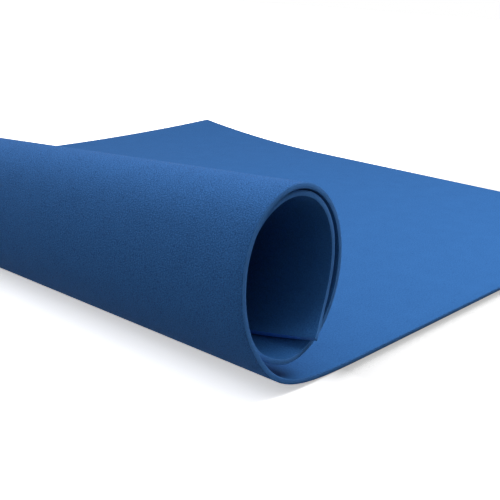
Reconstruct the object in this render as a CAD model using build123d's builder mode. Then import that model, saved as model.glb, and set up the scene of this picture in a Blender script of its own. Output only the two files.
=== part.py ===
from build123d import *
import math
import os

# Millimetres. +Z is up and the floor is at Z = 0.
# +X runs along the sheet, from the roll towards the flat end. +Y runs across its width.
# The origin is on the floor, under the middle of the flat stretch.

# The sheet, flat and unrolled
sheet_thickness = 2.0
sheet_width = 400.0
sheet_length = 685.0

# The flat stretch, from where the front edge leaves the floor to the flat end
flat_length = 300.0

# The roll is rolled tighter towards the back edge, evenly at first and then levelling out
roll_height_front = 75.5
roll_height_back = 55.0
taper_eases_from = 200.0
roll_skew = 20.0

# The section of the roll, as shares of its height
half_width_share = 0.342
half_height_share = 0.411
foot_reach_share = 0.787
foot_handle_floor = 0.66
foot_handle_roll = 0.34
free_stretch_share = 0.027

# The closed side is flatter low down than a true oval
flat_side_share = 0.129
flat_side_from = 15.0
flat_side_most = 50.0
flat_side_to = 168.0

# Angles of the rolling, in degrees, from straight down, up the closed side and over
roll_start_angle = 49.0
tighten_from = 325.0
tighten_over = 73.0
least_end_angle = 680.0
free_stretch_angle = 158.0
free_stretch_over = 120.0

# Clearance between neighbouring turns, so that the roll stays one clean sheet
turn_clearance = 0.5

# The back corner of the flat end lifts in a shallow bend about a slanted line
corner_lift = 9.0
corner_reach = 120.0
corner_direction = 57.0

# How finely the roll is followed
foot_points = 6
roll_points = 48
roll_sections = 15

flat_end_x = flat_length / 2
roll_middle_x = -flat_length / 2 - foot_reach_share * roll_height_front
seam_x = -flat_length / 2 + sheet_thickness


def smooth_share(value, start, end):
    # Rises smoothly from 0 at the start to 1 at the end
    share = min(1.0, max(0.0, (value - start) / (end - start)))
    return share * share * (3 - 2 * share)


def roll_height(across):
    # Straight taper as far as taper_eases_from, then the slope fades out to the back edge
    fading = sheet_width - taper_eases_from
    slope = (roll_height_front - roll_height_back) / (taper_eases_from + fading / 2)
    if across <= taper_eases_from:
        return roll_height_front - slope * across
    past = across - taper_eases_from
    return roll_height_front - slope * (taper_eases_from + past - past * past / (2 * fading))


def roll_point(angle, end_angle, height):
    # An oval that tightens by one sheet and a clearance each time it passes under itself.
    # Its free stretch, up to the end angle, stands in from the turn around it.
    pitch = sheet_thickness + turn_clearance
    tighten = 0
    for turn in range(4):
        begin = tighten_from + 360 * turn
        tighten = tighten + pitch * smooth_share(angle, begin, begin + tighten_over)
    free_from = end_angle - free_stretch_angle
    free = smooth_share(angle, free_from, free_from + free_stretch_over)
    around = angle % 360
    flatter = flat_side_share * smooth_share(around, flat_side_from, flat_side_most)
    flatter = flatter * (1 - smooth_share(around, flat_side_most, flat_side_to))
    half_width = half_width_share * height * (1 - flatter)
    half_width = half_width - tighten - free * free_stretch_share * height
    half_height = half_height_share * height - tighten
    middle_z = height - sheet_thickness / 2 - half_height_share * height
    turned = math.radians(angle)
    return (-half_width * math.sin(turned), middle_z - half_height * math.cos(turned))


def foot_line(end_angle, height):
    # A cubic curve from the floor up to the start of the oval, tangent at both ends
    start = roll_point(roll_start_angle, end_angle, height)
    after = roll_point(roll_start_angle + 0.1, end_angle, height)
    step = math.dist(start, after)
    reach = foot_reach_share * height - start[0]
    handle = foot_handle_roll * reach / step
    corners = (
        (foot_reach_share * height, sheet_thickness / 2),
        (foot_reach_share * height - foot_handle_floor * reach, sheet_thickness / 2),
        (start[0] + handle * (start[0] - after[0]), start[1] + handle * (start[1] - after[1])),
        start,
    )
    points = []
    for i in range(foot_points):
        u = i / foot_points
        weights = ((1 - u) ** 3, 3 * u * (1 - u) ** 2, 3 * u * u * (1 - u), u**3)
        x = sum(weight * corner[0] for weight, corner in zip(weights, corners))
        z = sum(weight * corner[1] for weight, corner in zip(weights, corners))
        points.append((x, z))
    return points


def middle_line(end_angle, height):
    # The middle of the sheet's thickness, from the floor to the free end
    # Points at the same place in the list lie at the same angle in every section, apart
    # from the later ones, which spread out over what the tighter sections roll further.
    points = foot_line(end_angle, height)
    for i in range(roll_points + 1):
        share = i / roll_points
        late = max(0.0, 2 * share - 1)
        angle = roll_start_angle + (least_end_angle - roll_start_angle) * share
        angle = angle + (end_angle - least_end_angle) * late * late
        points.append(roll_point(angle, end_angle, height))
    return points


def line_length(points):
    return sum(math.dist(a, b) for a, b in zip(points, points[1:]))


def share_along(points):
    # How far along the line each point lies, from 0 to 1
    lengths = [0.0]
    for a, b in zip(points, points[1:]):
        lengths.append(lengths[-1] + math.dist(a, b))
    return [length / lengths[-1] for length in lengths]


def rolled_line(across):
    # The end angle is found by using up the same sheet length in every section
    height = roll_height(across)
    middle_x = roll_middle_x - roll_skew * across / sheet_width
    rolled = sheet_length - (flat_end_x - middle_x - foot_reach_share * height)
    end_angle = least_end_angle
    for i in range(12):
        missing = rolled - line_length(middle_line(end_angle, height))
        end_angle = end_angle + math.degrees(missing / (half_width_share * height))
    return [(x + middle_x, z) for x, z in middle_line(end_angle, height)]


def two_faces(points):
    # The middle line moved half a thickness to each side: the outside, then the inside
    outside = []
    inside = []
    last = len(points) - 1
    for i in range(last + 1):
        before = points[max(0, i - 1)]
        after = points[min(last, i + 1)]
        along_x = after[0] - before[0]
        along_z = after[1] - before[1]
        if i == 0:
            along_z = 0.0
        size = math.hypot(along_x, along_z) * 2 / sheet_thickness
        outside.append((points[i][0] - along_z / size, points[i][1] + along_x / size))
        inside.append((points[i][0] + along_z / size, points[i][1] - along_x / size))
    return outside, inside


# The corner bend's radius, and the point of the flat sheet where the bend begins
bend_radius = (corner_reach**2 + corner_lift**2) / (2 * corner_lift)
bend_x = math.cos(math.radians(corner_direction))
bend_y = math.sin(math.radians(corner_direction))
bend_origin = (
    flat_end_x - corner_reach * bend_x,
    sheet_width / 2 - corner_reach * bend_y,
    0,
)
far_away = sheet_width + sheet_length
bend_angle = math.degrees(math.asin(1.2 * corner_reach / bend_radius))

os.makedirs("parts", exist_ok=True)

with BuildPart() as foam_sheet:
    # The flat stretch and its lifted corner: one strip drawn across the bend, as long as
    # the sheet in both directions, then cut to the sheet's own outline
    with BuildSketch(Plane(bend_origin, x_dir=(bend_x, bend_y, 0), z_dir=(bend_y, -bend_x, 0))):
        with BuildLine():
            underside = Line((-far_away, 0), (0, 0))
            under_bend = JernArc((0, 0), (1, 0), bend_radius, bend_angle)
            Line(under_bend @ 1, under_bend @ 1 + (0, sheet_thickness))
            over_bend = JernArc((0, sheet_thickness), (1, 0), bend_radius, bend_angle)
            Line((0, sheet_thickness), (-far_away, sheet_thickness))
            Line((-far_away, sheet_thickness), (-far_away, 0))
        make_face()
    extrude(amount=far_away, both=True)
    with BuildSketch(Plane.XY.offset(-far_away)):
        with Locations(((seam_x + flat_end_x) / 2, 0)):
            Rectangle(flat_end_x - seam_x, sheet_width)
    extrude(amount=2 * far_away, mode=Mode.INTERSECT)

    # The foot and the roll, in sections from the front edge to the back edge. All the
    # curves pass their points at the same shares, so that the sections match up.
    shares = share_along(rolled_line(0))
    for i in range(roll_sections):
        across = sheet_width * i / (roll_sections - 1)
        outside, inside = two_faces(rolled_line(across))
        with BuildSketch(Plane.XZ.offset(sheet_width / 2 - across)):
            with BuildLine():
                Line((seam_x, 0), outside[0])
                add(Edge.make_spline(outside, parameters=shares))
                Line(outside[-1], inside[-1])
                add(Edge.make_spline(inside, parameters=shares))
                Line(inside[0], (seam_x, sheet_thickness))
                Line((seam_x, sheet_thickness), (seam_x, 0))
            make_face()
    loft()

foam_sheet.part.label = "foam_sheet"
export_step(foam_sheet.part, "parts/foam_sheet.step")
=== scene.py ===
# %% [markdown]
# The object is one sheet of blue closed-cell foam. It lies flat at one end and is rolled
# up on itself at the other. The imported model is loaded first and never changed: it says
# where the sheet is and how large it is. Everything here is in metres, with the floor at
# z = 0, x running along the sheet and y running across it.

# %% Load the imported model
import math
import bpy
from mathutils import Matrix, Vector


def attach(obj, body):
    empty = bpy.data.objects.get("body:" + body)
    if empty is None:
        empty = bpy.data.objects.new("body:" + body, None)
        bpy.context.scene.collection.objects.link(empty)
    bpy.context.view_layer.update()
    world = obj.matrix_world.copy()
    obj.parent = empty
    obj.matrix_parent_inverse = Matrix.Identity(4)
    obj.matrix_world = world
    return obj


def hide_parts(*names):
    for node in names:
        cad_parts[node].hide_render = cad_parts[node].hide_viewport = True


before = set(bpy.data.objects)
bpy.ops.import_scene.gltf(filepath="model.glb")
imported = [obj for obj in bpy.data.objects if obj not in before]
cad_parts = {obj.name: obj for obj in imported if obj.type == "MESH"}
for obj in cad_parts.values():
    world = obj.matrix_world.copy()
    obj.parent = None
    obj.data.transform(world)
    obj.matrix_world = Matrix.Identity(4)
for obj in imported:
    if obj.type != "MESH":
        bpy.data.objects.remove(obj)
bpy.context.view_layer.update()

# %% [markdown]
# A sheet is made from its own flat size, as it was cut, so that nothing in the roll is
# stretched. Its thickness and the widest height of the roll set the whole shape. The
# roll is looser and taller at the front edge and tighter at the back, as a sheet rolled
# by hand often is.

# %% Sizes of the sheet and of its roll
THICKNESS = 0.002
WIDTH = 0.400
LENGTH = 0.685
FLAT_END_X = 0.150
ROLL_HEIGHT_FRONT = 0.0755
ROLL_HEIGHT_BACK = 0.055
TAPER_EASES_FROM = 0.200
ROLL_SKEW = 0.020
TURN_CLEARANCE = 0.0005


def smooth_share(value, start, end):
    """Rise smoothly from 0 at start to 1 at end."""
    share = min(1.0, max(0.0, (value - start) / (end - start)))
    return share * share * (3 - 2 * share)


def roll_height(across):
    """How tall the roll is, this far from the front edge."""
    fading = WIDTH - TAPER_EASES_FROM
    slope = (ROLL_HEIGHT_FRONT - ROLL_HEIGHT_BACK) / (TAPER_EASES_FROM + fading / 2)
    past = max(0.0, across - TAPER_EASES_FROM)
    return ROLL_HEIGHT_FRONT - slope * (across - past * past / (2 * fading))


print("roll height at the front, middle and back:",
      [round(roll_height(a), 4) for a in (0, WIDTH / 2, WIDTH)])

# %% [markdown]
# Seen from the end, the roll is a tall oval that tightens by one thickness each time it
# passes under itself. Its closed side is a little flatter low down. Past the last top, the
# free stretch hangs a little inwards, so a dark gap opens beside it. The oval could be a
# drawn curve, but a formula keeps the turns the same distance apart all the way round.
# Sizes are shares of the roll's height. Angles are in degrees, counted from straight down,
# up the closed side and over. Each point also keeps the angle at which it lies.

# %% The turns of the roll, seen from the end
HALF_WIDTH_SHARE = 0.342
HALF_HEIGHT_SHARE = 0.411
TIGHTEN_FROM, TIGHTEN_TO = 325, 398
FLAT_SIDE_SHARE = 0.129
FLAT_SIDE_FROM, FLAT_SIDE_MOST, FLAT_SIDE_TO = 15, 50, 168
FREE_SHARE = 0.027
FREE_STARTS_BEFORE_END, FREE_FULL_BEFORE_END = 158, 38
MOST_TURNS = 4


def roll_point(angle, end_angle, height):
    """A point of the roll at this angle."""
    pitch = THICKNESS + TURN_CLEARANCE
    tighten = sum(pitch * smooth_share(angle, TIGHTEN_FROM + 360 * turn,
                                       TIGHTEN_TO + 360 * turn)
                  for turn in range(MOST_TURNS))
    around = angle % 360
    flatter = FLAT_SIDE_SHARE * smooth_share(around, FLAT_SIDE_FROM, FLAT_SIDE_MOST)
    flatter *= 1 - smooth_share(around, FLAT_SIDE_MOST, FLAT_SIDE_TO)
    free = smooth_share(angle, end_angle - FREE_STARTS_BEFORE_END,
                        end_angle - FREE_FULL_BEFORE_END)
    half_width = HALF_WIDTH_SHARE * height * (1 - flatter) - tighten
    half_width -= free * FREE_SHARE * height
    half_height = HALF_HEIGHT_SHARE * height - tighten
    middle_z = height - THICKNESS / 2 - HALF_HEIGHT_SHARE * height
    turned = math.radians(angle)
    return Vector((-half_width * math.sin(turned),
                   middle_z - half_height * math.cos(turned), angle))


print("top of the front turn", round(roll_point(180, 680, ROLL_HEIGHT_FRONT).y, 4))

# %% [markdown]
# Below the oval, the sheet eases down to the floor in one long curve, the foot. It is a
# cubic curve with four corners, which leaves the floor level and meets the oval in the
# oval's own direction, so no kink shows where they join. The line drawn here is the
# middle of the foam's thickness.

# %% The foot, and the whole line of one slice
FOOT_REACH_SHARE = 0.787
FOOT_HANDLE_FLOOR = 0.66
FOOT_HANDLE_ROLL = 0.34
FOOT_STEPS = 24
ROLL_START = 49.0
ROLL_STEPS = 420


def foot_points(start, lean, height):
    """The long curve from the floor up to the start of the oval."""
    foot_x = FOOT_REACH_SHARE * height
    reach = foot_x - start.x
    corners = (Vector((foot_x, THICKNESS / 2, 0)),
               Vector((foot_x - FOOT_HANDLE_FLOOR * reach, THICKNESS / 2, 0)),
               start + lean * FOOT_HANDLE_ROLL * reach,
               start)
    points = []
    for i in range(FOOT_STEPS):
        u = i / FOOT_STEPS
        weights = ((1 - u) ** 3, 3 * u * (1 - u) ** 2, 3 * u * u * (1 - u), u ** 3)
        points.append(sum((c * w for c, w in zip(corners, weights)), Vector((0, 0, 0))))
    return points


def slice_line(across, end_angle):
    """The whole line of one slice, from where it leaves the floor to the free end."""
    height = roll_height(across)
    start = roll_point(ROLL_START, end_angle, height)
    lean = start - roll_point(ROLL_START + 0.1, end_angle, height)
    lean = Vector((lean.x, lean.y, 0)).normalized()
    points = foot_points(start, lean, height)
    for i in range(ROLL_STEPS + 1):
        angle = ROLL_START + (end_angle - ROLL_START) * i / ROLL_STEPS
        points.append(roll_point(angle, end_angle, height))
    return points


# %% [markdown]
# A sheet has the same length at its front and back edges. Where the roll is tighter, that
# length goes round further. So the angle at which each slice ends isn't chosen: it is
# found by rolling on until the slice has used up exactly the sheet's length.

# %% Roll each slice until the length is used up
LEAST_END = 680.0
LENGTH_TRIES = 12
ROLL_MIDDLE_X = -FLAT_END_X - FOOT_REACH_SHARE * ROLL_HEIGHT_FRONT


def walked(points):
    """How far along the line each of its points lies."""
    along = [0.0]
    for a, b in zip(points, points[1:]):
        along.append(along[-1] + math.hypot(b.x - a.x, b.y - a.y))
    return along


def fitted_slice(across):
    """The slice that uses up exactly the sheet's length, with the distance of each point
    from the flat end."""
    middle_x = ROLL_MIDDLE_X - ROLL_SKEW * across / WIDTH
    leaves_floor = FLAT_END_X - middle_x - FOOT_REACH_SHARE * roll_height(across)
    end_angle = LEAST_END
    for attempt in range(LENGTH_TRIES):
        points = slice_line(across, end_angle)
        missing = LENGTH - leaves_floor - walked(points)[-1]
        end_angle += math.degrees(missing / (HALF_WIDTH_SHARE * roll_height(across)))
    points = [p + Vector((middle_x, 0, 0)) for p in points]
    points.insert(0, Vector((FLAT_END_X, THICKNESS / 2, 0)))
    return points, walked(points)


print("length in the front slice", round(fitted_slice(0.0)[1][-1], 4))

# %% [markdown]
# Two small things keep the real sheet from being perfectly even. The back corner of the
# flat end lifts in one shallow bend. And the inner turn isn't quite flush with the outer
# one at the front: it is set back on the closed side, and its free end stands proud. Both
# are moves of the sheet's points, as a hand would push them, and fade out smoothly.

# %% The lifted corner and the edge that isn't flush
CORNER_LIFT = 0.009
CORNER_REACH = 0.120
CORNER_DIRECTION = math.radians(57)
SET_BACK_FADES_OVER = 0.6 * WIDTH

# Angle of the roll in degrees, and how far the edge is set back there in millimetres
SET_BACK = ((345, 0), (360, 0), (390, 3.2), (410, 3.6), (445, 3.1), (480, 2.3),
            (515, 1.0), (560, 0.3), (600, -0.2), (648, -0.1), (662, -0.5),
            (672, -1.4), (688, -3.3))


def corner_lift(x, y):
    """How far the back corner's shallow bend lifts a point of the flat stretch."""
    along = ((x - FLAT_END_X) * math.cos(CORNER_DIRECTION)
             + (y - WIDTH / 2) * math.sin(CORNER_DIRECTION) + CORNER_REACH)
    return CORNER_LIFT * max(0.0, along / CORNER_REACH) ** 2


def set_back(angle, across):
    """How far the front edge of the inner turn is set back, fading out over the width."""
    shift = SET_BACK[-1][1] if angle > SET_BACK[-1][0] else 0.0
    for (angle_a, shift_a), (angle_b, shift_b) in zip(SET_BACK, SET_BACK[1:]):
        if angle_a < angle <= angle_b:
            shift = shift_a + (shift_b - shift_a) * (angle - angle_a) / (angle_b - angle_a)
    return 0.001 * shift * (1 - smooth_share(across, 0.0, SET_BACK_FADES_OVER))


print("corner lift", round(corner_lift(FLAT_END_X, WIDTH / 2), 4))

# %% [markdown]
# The sheet starts as a flat grid primitive with as many squares as the tightest turn
# needs. Each of its points is then carried from the flat cut to its place along the
# slice, which is how a real sheet is rolled: distances along the foam stay the same. A
# cloth simulation would let springy foam collapse, so the points are placed in code.

# %% Make the sheet from a flat grid
COLUMNS = 330
ROWS = 60


def at_distance(points, along, wanted):
    """The place on a slice at this distance from the flat end."""
    low, high = 0, len(along) - 1
    while high - low > 1:
        middle = (low + high) // 2
        if along[middle] <= wanted:
            low = middle
        else:
            high = middle
    share = (wanted - along[low]) / max(1e-9, along[high] - along[low])
    return points[low].lerp(points[high], min(1.0, max(0.0, share)))


bpy.ops.object.select_all(action="DESELECT")
bpy.ops.mesh.primitive_grid_add(x_subdivisions=COLUMNS, y_subdivisions=ROWS, size=1)
sheet = bpy.context.object
sheet.name = "rolled_foam"

slices = [fitted_slice(WIDTH * row / ROWS) for row in range(ROWS + 1)]
for vertex in sheet.data.vertices:
    distance = LENGTH * (0.5 - vertex.co.x)
    row = round((vertex.co.y + 0.5) * ROWS)
    points, along = slices[row]
    place = at_distance(points, along, distance)
    across = WIDTH * row / ROWS
    y = across - WIDTH / 2 + set_back(place.z, across)
    vertex.co = (place.x, y, place.y + corner_lift(place.x, y))
print("sheet points", len(sheet.data.vertices))

# %% [markdown]
# The foam's grain belongs to the flat cut, so the sheet carries its own map of where each
# point lay before it was rolled, in real metres. Patterns that read this map run round
# the roll without stretching.

# %% Give the sheet a map in real metres
flat_map = sheet.data.uv_layers.active
flat_map.name = "flat_cut"
for loop in flat_map.data:
    loop.uv = (loop.uv.x * LENGTH, loop.uv.y * WIDTH)
print("map corners", len(flat_map.data))

# %% [markdown]
# The foam has three finishes: the two faces of the sheet and its cut edge. They are made
# empty here, because the sheet needs its three material slots before it gets thickness:
# the first slot is one face, the second the cut edge, and the third the other face.

# %% Three empty finishes


def new_material(name):
    """A material with nothing but a shader joined to its output."""
    material = bpy.data.materials.new(name)
    material.use_nodes = True
    tree = material.node_tree
    tree.nodes.clear()
    shader = tree.nodes.new("ShaderNodeBsdfPrincipled")
    output = tree.nodes.new("ShaderNodeOutputMaterial")
    tree.links.new(shader.outputs["BSDF"], output.inputs["Surface"])
    return material, shader


foam_skin, skin_shader = new_material("foam_skin")
foam_cut, cut_shader = new_material("foam_cut_edge_with_painted_highlight")
foam_back, back_shader = new_material("foam_open_face")
for finish in (foam_skin, foam_cut, foam_back):
    sheet.data.materials.append(finish)
print("finishes", [finish.name for finish in sheet.data.materials])

# %% [markdown]
# Solidify gives the sheet its thickness, half to each side of the middle line, and puts
# the cut edge and the far face in slots of their own. A small bevel softens the cut, as a
# blade leaves it in soft foam. Both modifiers are applied, so the finished mesh is a
# closed solid.

# %% Thickness and softened cut edges
SOFT_CUT = 0.00025


def apply_modifier(piece, name):
    """Apply one modifier of a piece."""
    bpy.ops.object.select_all(action="DESELECT")
    piece.select_set(True)
    bpy.context.view_layer.objects.active = piece
    bpy.ops.object.modifier_apply(modifier=name)


solid = sheet.modifiers.new("thickness", "SOLIDIFY")
solid.thickness = THICKNESS
solid.offset = 0
solid.material_offset = 2
solid.material_offset_rim = 1
apply_modifier(sheet, "thickness")

bevel = sheet.modifiers.new("soft_cut", "BEVEL")
bevel.width = SOFT_CUT
bevel.segments = 2
bevel.limit_method = "ANGLE"
bevel.angle_limit = math.radians(50)
apply_modifier(sheet, "soft_cut")
bpy.ops.object.shade_smooth_by_angle(angle=math.radians(40))
print("sheet faces", len(sheet.data.polygons))

# %% [markdown]
# The finishes are built from shader nodes. A few helpers each add one kind of node to a
# node tree and hand back its output, so that the cells below read as short sentences.

# %% Helpers that add one node each


def add_math(tree, operation, first, second):
    """A math node that joins two values or sockets."""
    node = tree.nodes.new("ShaderNodeMath")
    node.operation = operation
    for socket, value in zip(node.inputs, (first, second)):
        if isinstance(value, (int, float)):
            socket.default_value = value
        else:
            tree.links.new(value, socket)
    return node.outputs[0]


def add_noise(tree, vector, scale, detail, roughness):
    """A noise pattern read at a vector, with its scale given by a socket."""
    noise = tree.nodes.new("ShaderNodeTexNoise")
    noise.inputs["Detail"].default_value = detail
    noise.inputs["Roughness"].default_value = roughness
    tree.links.new(vector, noise.inputs["Vector"])
    tree.links.new(scale, noise.inputs["Scale"])
    return noise.outputs["Fac"]


def add_range(tree, value, from_low, from_high, to_low=0.0, to_high=1.0):
    """Move a value from one range to another, clamped."""
    node = tree.nodes.new("ShaderNodeMapRange")
    tree.links.new(value, node.inputs["Value"])
    for label, number in (("From Min", from_low), ("From Max", from_high),
                          ("To Min", to_low), ("To Max", to_high)):
        node.inputs[label].default_value = number
    return node.outputs["Result"]


# %% [markdown]
# Closed-cell foam shows thousands of tiny cells just under its skin. They are drawn twice
# from one pattern: as small dents for the light to catch, and as a faint change of
# colour. Because all three finishes use the same cells, the pattern is a node group with
# inputs for its scale and strength.

# %% The group that holds the cells, and its dents
cells = bpy.data.node_groups.new("foam_cells", "ShaderNodeTree")
for label, kind, value in (("Vector", "NodeSocketVector", None),
                           ("Cell Scale", "NodeSocketFloat", 1300.0),
                           ("Mottle Scale", "NodeSocketFloat", 90.0),
                           ("Fleck Amount", "NodeSocketFloat", 0.5),
                           ("Grain Amount", "NodeSocketFloat", 0.6)):
    socket = cells.interface.new_socket(label, in_out="INPUT", socket_type=kind)
    if value is not None:
        socket.default_value = value
for label in ("Height", "Shade"):
    cells.interface.new_socket(label, in_out="OUTPUT", socket_type="NodeSocketFloat")

given = cells.nodes.new("NodeGroupInput").outputs
made = cells.nodes.new("NodeGroupOutput").inputs
pores = cells.nodes.new("ShaderNodeTexVoronoi")
cells.links.new(given["Vector"], pores.inputs["Vector"])
cells.links.new(given["Cell Scale"], pores.inputs["Scale"])
pore_depth = add_range(cells, pores.outputs["Distance"], 0.05, 0.6)
grain = add_noise(cells, given["Vector"], given["Cell Scale"], detail=3.0, roughness=0.6)
dent_height = add_math(cells, "ADD", pore_depth, add_math(cells, "MULTIPLY", grain, 0.8))
cells.links.new(dent_height, made["Height"])
print("group inputs", [socket.name for socket in given if socket.name])

# %% [markdown]
# The colour of the foam isn't quite even either. Three things add up to one value from
# dark to light: the fine grain of the cells, a soft mottle some twenty cells wide, and
# here and there a small dark fleck, where a cell lies open.

# %% The shade of the cells
mottle = add_noise(cells, given["Vector"], given["Mottle Scale"], detail=4.0, roughness=0.65)
fleck_scale = add_math(cells, "MULTIPLY", given["Cell Scale"], 0.35)
fleck_noise = add_noise(cells, given["Vector"], fleck_scale, detail=1.0, roughness=0.4)
flecks = add_math(cells, "MULTIPLY", add_range(cells, fleck_noise, 0.60, 0.74),
                  given["Fleck Amount"])
grain_shade = add_math(cells, "MULTIPLY", add_range(cells, grain, 0.3, 0.7, -0.5, 0.5),
                       given["Grain Amount"])
mottle_shade = add_range(cells, mottle, 0.3, 0.7, 0.42, 0.58)
shade = add_math(cells, "ADD", grain_shade, mottle_shade)
cells.links.new(add_math(cells, "SUBTRACT", shade, flecks), made["Shade"])
print("nodes in the group", len(cells.nodes))

# %% [markdown]
# Both faces are matt blue with hardly any shine. The face that ends up outside the roll
# shows its cells more, because the foam is stretched a little there. The cut edge is the
# inside of the foam: the same blue, drier, with open cells, and much lighter: partly its
# own paler colour, partly a painted highlight for the light that its thin rim catches. The
# faces read the map of the flat cut. The edge has no room on that map, so its cells are
# read straight from the place in space.

# %% The two faces and the cut edge
MOTTLE_PER_CELL = 0.05
FLECKS_PER_GRAIN = 0.25
DENT_DEPTH = 0.0002


def foam_finish(material, shader, vector, cell_scale, colours, bump, grained, roughness):
    """Blue foam: cells for colour and dents, and a matt surface."""
    tree = material.node_tree
    group = tree.nodes.new("ShaderNodeGroup")
    group.node_tree = cells
    tree.links.new(vector, group.inputs["Vector"])
    group.inputs["Cell Scale"].default_value = cell_scale
    group.inputs["Mottle Scale"].default_value = cell_scale * MOTTLE_PER_CELL
    group.inputs["Fleck Amount"].default_value = FLECKS_PER_GRAIN * grained
    group.inputs["Grain Amount"].default_value = grained
    ramp = tree.nodes.new("ShaderNodeValToRGB")
    for stop, place, colour in zip(ramp.color_ramp.elements, (0.0, 1.0), colours):
        stop.position = place
        stop.color = (*colour, 1)
    tree.links.new(group.outputs["Shade"], ramp.inputs["Fac"])
    tree.links.new(ramp.outputs["Color"], shader.inputs["Base Color"])
    dents = tree.nodes.new("ShaderNodeBump")
    dents.inputs["Strength"].default_value = bump
    dents.inputs["Distance"].default_value = DENT_DEPTH
    tree.links.new(group.outputs["Height"], dents.inputs["Height"])
    tree.links.new(dents.outputs["Normal"], shader.inputs["Normal"])
    shader.inputs["Roughness"].default_value = roughness
    shader.inputs["Specular IOR Level"].default_value = 0.15


def flat_cut_read(material):
    """Where a spot of the foam lay on the flat cut."""
    node = material.node_tree.nodes.new("ShaderNodeUVMap")
    node.uv_map = "flat_cut"
    return node.outputs["UV"]


foam_finish(foam_skin, skin_shader, flat_cut_read(foam_skin), cell_scale=1500.0,
            colours=((0.021, 0.116, 0.35), (0.041, 0.187, 0.52)),
            bump=0.30, grained=0.80, roughness=0.8)
foam_finish(foam_back, back_shader, flat_cut_read(foam_back), cell_scale=2000.0,
            colours=((0.021, 0.103, 0.31), (0.052, 0.212, 0.59)),
            bump=0.60, grained=1.35, roughness=0.8)
cut_place = foam_cut.node_tree.nodes.new("ShaderNodeTexCoord")
# The cut edge's light colours are partly its own paler foam, partly a painted highlight for
# the light its rim catches.
foam_finish(foam_cut, cut_shader, cut_place.outputs["Object"], cell_scale=2200.0,
            colours=((0.075, 0.260, 0.72), (0.115, 0.360, 0.90)),
            bump=0.5, grained=0.5, roughness=0.85)
print("users of the cells", cells.users)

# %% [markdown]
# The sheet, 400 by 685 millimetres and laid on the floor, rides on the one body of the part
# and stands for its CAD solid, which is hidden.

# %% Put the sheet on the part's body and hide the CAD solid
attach(sheet, "root")
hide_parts("foam_sheet")

# %% [markdown]
# The floor is white paper. The camera sees it about twice as bright as it is lit, with a
# glow of its own as well, so that it reads as white away from the sheet and still takes
# the sheet's soft shadow. For the light that bounces back onto the foam it is a dark grey,
# as a floor is that falls away into the dark of a room. White paper would light up the
# near side of the roll, which lies in shade.

# %% Floor of white paper, and the rays that see it
FLOOR_SIZE = 12
FLOOR_GLOW = 0.48
PAPER_FOR_CAMERA = 2.1
PAPER_FOR_BOUNCE = 0.13

bpy.ops.object.select_all(action="DESELECT")
bpy.ops.mesh.primitive_plane_add(size=FLOOR_SIZE, location=(0, 0, 0))
floor = bpy.context.object
floor.name = "floor"
floor_paint = bpy.data.materials.new("floor_white")
floor_paint.use_nodes = True
paint = floor_paint.node_tree
paint.nodes.clear()
rays = paint.nodes.new("ShaderNodeLightPath").outputs
seen = add_math(paint, "MAXIMUM", rays["Is Camera Ray"], rays["Is Glossy Ray"])
seen = add_math(paint, "MAXIMUM", seen, rays["Is Transmission Ray"])
paper_white = add_range(paint, seen, 0.0, 1.0, PAPER_FOR_BOUNCE, PAPER_FOR_CAMERA)
floor.data.materials.append(floor_paint)
print("floor", floor.name, FLOOR_SIZE, "m wide")

# %% [markdown]
# Foam two millimetres thick hardly shades the floor, yet a soft dark line runs along its
# front edge. Ambient occlusion measures how closed in each spot of the floor is, and
# darkens the paper close to the foam. On paper that is twice as bright as it is lit, the
# line would wash out, so in front of the flat foam that extra brightness is held back.
# Under the roll it isn't, because there the roll's own shadow is dark enough.

# %% The line of shade along the flat front edge
EDGE_SHADE_REACH = 0.025
EDGE_SHADE_CURVE = 17.0
EDGE_PAPER_SHARE = 0.30
ROLL_ENDS, FLAT_BEGINS = -0.215, -0.175
FRONT_UP_TO, BACK_FROM = -0.1, 0.1

near = paint.nodes.new("ShaderNodeAmbientOcclusion")
near.samples = 16
near.inputs["Distance"].default_value = EDGE_SHADE_REACH
contact = add_math(paint, "POWER", near.outputs["AO"], EDGE_SHADE_CURVE)
contact = add_math(paint, "MULTIPLY", contact, EDGE_PAPER_SHARE)
floor_place = paint.nodes.new("ShaderNodeTexCoord")
floor_parts = paint.nodes.new("ShaderNodeSeparateXYZ")
paint.links.new(floor_place.outputs["Object"], floor_parts.inputs[0])
beside_flat = add_range(paint, floor_parts.outputs["X"], ROLL_ENDS, FLAT_BEGINS)
in_front = add_range(paint, floor_parts.outputs["Y"], FRONT_UP_TO, BACK_FROM, 1.0, 0.0)
shaded = add_math(paint, "MULTIPLY", add_math(paint, "MULTIPLY", beside_flat, in_front),
                  add_math(paint, "SUBTRACT", 1.0, contact))
open_share = add_math(paint, "SUBTRACT", 1.0, shaded)

paper = paint.nodes.new("ShaderNodeBsdfDiffuse")
paint.links.new(add_math(paint, "MULTIPLY", paper_white, open_share), paper.inputs["Color"])
glow = paint.nodes.new("ShaderNodeEmission")
glow.inputs["Color"].default_value = (1, 1, 1, 1)
paint.links.new(add_math(paint, "MULTIPLY", seen, FLOOR_GLOW), glow.inputs["Strength"])
both = paint.nodes.new("ShaderNodeAddShader")
paint.links.new(paper.outputs[0], both.inputs[0])
paint.links.new(glow.outputs[0], both.inputs[1])
paint_out = paint.nodes.new("ShaderNodeOutputMaterial")
paint.links.new(both.outputs[0], paint_out.inputs["Surface"])
print("nodes in the floor's paint", len(paint.nodes))

# %% [markdown]
# The world stands for the room around the sheet. The camera sees it as plain white. As a
# light it is bright above and behind the sheet, and dark low down in front, so that the
# rounded side of the roll runs smoothly from light to shade. A dot product with the
# bright direction gives that gradient.

# %% World
BRIGHT_DIRECTION = (-0.28, 0.60, 1.0)
ROOM_DARK_FROM, ROOM_BRIGHT_FROM = -0.6, 1.1
ROOM_CURVE = 2.2

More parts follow.
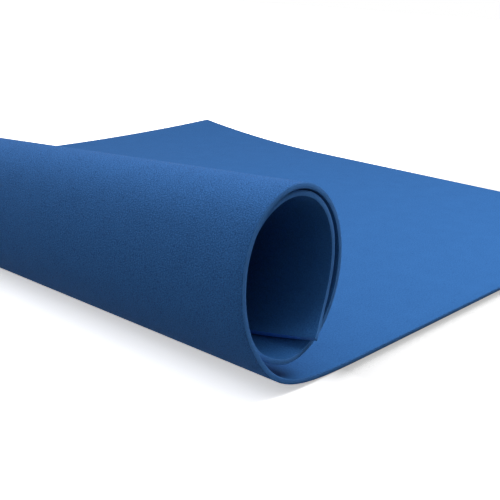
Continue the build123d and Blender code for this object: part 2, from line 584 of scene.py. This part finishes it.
world = bpy.data.worlds.new("soft_studio")
bpy.context.scene.world = world
world.use_nodes = True
room_tree = world.node_tree
room_tree.nodes.clear()
world_rays = room_tree.nodes.new("ShaderNodeLightPath").outputs
world_seen = add_math(room_tree, "MAXIMUM", world_rays["Is Camera Ray"],
                      world_rays["Is Transmission Ray"])
look = room_tree.nodes.new("ShaderNodeTexCoord")
height_share = room_tree.nodes.new("ShaderNodeVectorMath")
height_share.operation = "DOT_PRODUCT"
height_share.inputs[1].default_value = BRIGHT_DIRECTION
room_tree.links.new(look.outputs["Generated"], height_share.inputs[0])
room = add_range(room_tree, height_share.outputs["Value"], ROOM_DARK_FROM, ROOM_BRIGHT_FROM)
room = add_math(room_tree, "POWER", room, ROOM_CURVE)
sky = room_tree.nodes.new("ShaderNodeBackground")
sky.inputs["Color"].default_value = (1, 1, 1, 1)
room_tree.links.new(add_math(room_tree, "MAXIMUM", room, world_seen),
                    sky.inputs["Strength"])
world_out = room_tree.nodes.new("ShaderNodeOutputWorld")
room_tree.links.new(sky.outputs[0], world_out.inputs["Surface"])
print("world", world.name)

# %% [markdown]
# Two soft lights stand for soft boxes. A wide sun lamp comes from above and behind and
# lights the whole floor evenly, so that the floor's white has no edge. A smaller box hangs
# over the front of the sheet, so that the flat foam gets a little darker towards the back.
# Neither reaches the near side of the roll, which falls into shade.

# %% Lamps


def add_lamp(name, kind, energy, place, aim):
    """A lamp that points from its place at its aim."""
    lamp = bpy.data.lights.new(name, kind)
    lamp.energy = energy
    holder = bpy.data.objects.new(name, lamp)
    bpy.context.collection.objects.link(holder)
    holder.location = place
    pointing = Vector(aim) - Vector(place)
    holder.rotation_euler = pointing.to_track_quat("-Z", "Y").to_euler()
    return lamp


wide_light = add_lamp("wide_soft_light", "SUN", energy=0.22,
                      place=(0.25, 0.45, 1.0), aim=(0, 0, 0))
wide_light.angle = math.radians(55)
front_box = add_lamp("front_soft_box", "AREA", energy=1.62,
                     place=(0.08, -0.30, 0.48), aim=(0.10, -0.22, 0.0))
front_box.size = 0.30
print("lamps", [lamp.name for lamp in (wide_light, front_box)])

# %% [markdown]
# The camera stands low, a little over the height of the roll, and looks along the
# diagonal of the sheet, past the open end of the roll. Its place was worked out from the
# straight edges in the photograph. Its heading, how far it looks down and how far it
# leans are in degrees. The lens is given as it was found, in pixels of a picture 500
# pixels wide, and turned into millimetres for a sensor 36 millimetres wide.

# %% Camera
CAMERA_PLACE = (-0.4067, -0.3542, 0.1325)
CAMERA_HEADING = 41.43
CAMERA_DOWN = 17.77
CAMERA_ROLL = 3.34
CAMERA_SHIFT = 0.0028
LENS_PIXELS = 812.7
PICTURE_PIXELS = 500
SENSOR_WIDTH = 36

camera_data = bpy.data.cameras.new("camera")
camera_data.sensor_width = SENSOR_WIDTH
camera_data.lens = SENSOR_WIDTH * LENS_PIXELS / PICTURE_PIXELS
camera_data.clip_start = 0.01
camera_data.shift_x = CAMERA_SHIFT
camera = bpy.data.objects.new("camera", camera_data)
bpy.context.collection.objects.link(camera)
turn = (Matrix.Rotation(math.radians(CAMERA_HEADING - 90), 4, "Z")
        @ Matrix.Rotation(math.radians(90 - CAMERA_DOWN), 4, "X")
        @ Matrix.Rotation(math.radians(CAMERA_ROLL), 4, "Z"))
camera.rotation_euler = turn.to_euler()
camera.location = CAMERA_PLACE
bpy.context.scene.camera = camera
print("lens", round(camera_data.lens, 2), "mm")

# %% [markdown]
# The Standard view shows each colour as it was written.

bpy.context.scene.view_settings.view_transform = "Standard"
